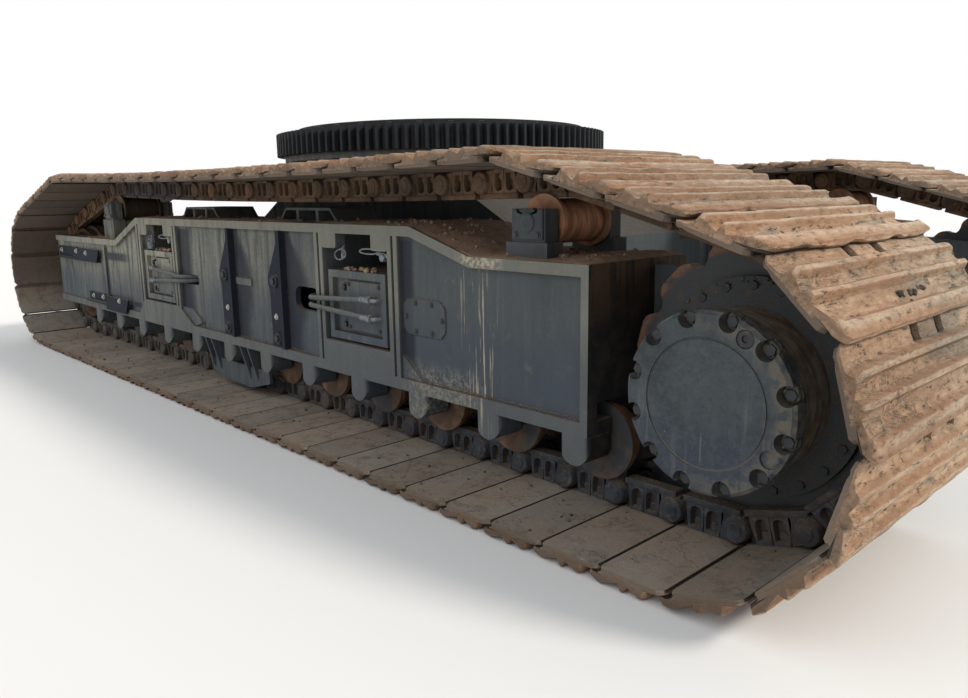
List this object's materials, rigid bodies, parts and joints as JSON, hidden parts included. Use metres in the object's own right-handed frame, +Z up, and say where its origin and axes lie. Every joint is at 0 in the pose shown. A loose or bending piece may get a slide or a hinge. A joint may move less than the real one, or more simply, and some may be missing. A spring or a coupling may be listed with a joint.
{
  "type": "crawler undercarriage of a rotary drilling rig",
  "caption": "Telescoping crawler undercarriage of a rotary drilling rig: two tracked side frames on cross beams, a carbody and a toothed slewing ring.",
  "frame": {"origin": "on the ground, below the middle of the whole undercarriage, where the slewing axis meets the ground", "axes": "+X along the crawlers towards the drive sprockets, +Y towards the far crawler, +Z up, along the slewing axis"},
  "size_m": [6.4838, 3.3, 1.476],
  "materials": {
    "slate_paint": "weathered slate grey paint with dust and rain streaks",
    "dark_paint": "satin dark paint",
    "shoe_steel": "dry sandy dust and mud over bare steel",
    "chain_steel": "greasy dark steel with brown rust",
    "worn_steel": "rust brown with worn bright running faces",
    "ring_steel": "greased machined teeth",
    "pad_bronze": "dull",
    "hose_rubber": "dusty braided cover"
  },
  "bodies": {
    "carbody": {"carbody": "slate_paint", "wear_pads": "pad_bronze", "ring_gear": "ring_steel", "swivel": "dark_paint"},
    "upper_race": {"upper_race": "ring_steel"},
    "near_crawler": {"near_shoes": "shoe_steel", "near_chain": "chain_steel", "near_idler": "worn_steel", "near_sprocket": "worn_steel", "near_final_drive": "slate_paint", "near_side_frame": "slate_paint", "near_roller_mounts": "slate_paint", "near_bottom_rollers": "worn_steel", "near_carrier_rollers": "worn_steel", "near_carrier_blocks": "slate_paint", "near_chain_guide": "slate_paint", "near_cross_beams": "slate_paint", "near_guide_bars": "dark_paint", "near_steps": "dark_paint", "near_skid_plates": "slate_paint", "near_drive_mount": "slate_paint", "near_hoses": "hose_rubber"},
    "far_crawler": {"far_shoes": "shoe_steel", "far_chain": "chain_steel", "far_idler": "worn_steel", "far_sprocket": "worn_steel", "far_final_drive": "slate_paint", "far_side_frame": "slate_paint", "far_roller_mounts": "slate_paint", "far_bottom_rollers": "worn_steel", "far_carrier_rollers": "worn_steel", "far_carrier_blocks": "slate_paint", "far_chain_guide": "slate_paint", "far_cross_beams": "slate_paint", "far_guide_bars": "dark_paint", "far_steps": "dark_paint", "far_skid_plates": "slate_paint", "far_drive_mount": "slate_paint", "far_hoses": "hose_rubber"}
  },
  "joints": [
    {"name": "near_slide", "type": "slide", "parent": "carbody", "child": "near_crawler", "axis": [0, -1, 0], "range_m": [0, 0.45]},
    {"name": "far_slide", "type": "slide", "parent": "carbody", "child": "far_crawler", "axis": [0, 1, 0], "range_m": [0, 0.45]},
    {"name": "slew", "type": "hinge", "parent": "carbody", "child": "upper_race", "pos_m": [0, 0, 1.36], "axis": [0, 0, 1], "continuous": true}
  ]
}
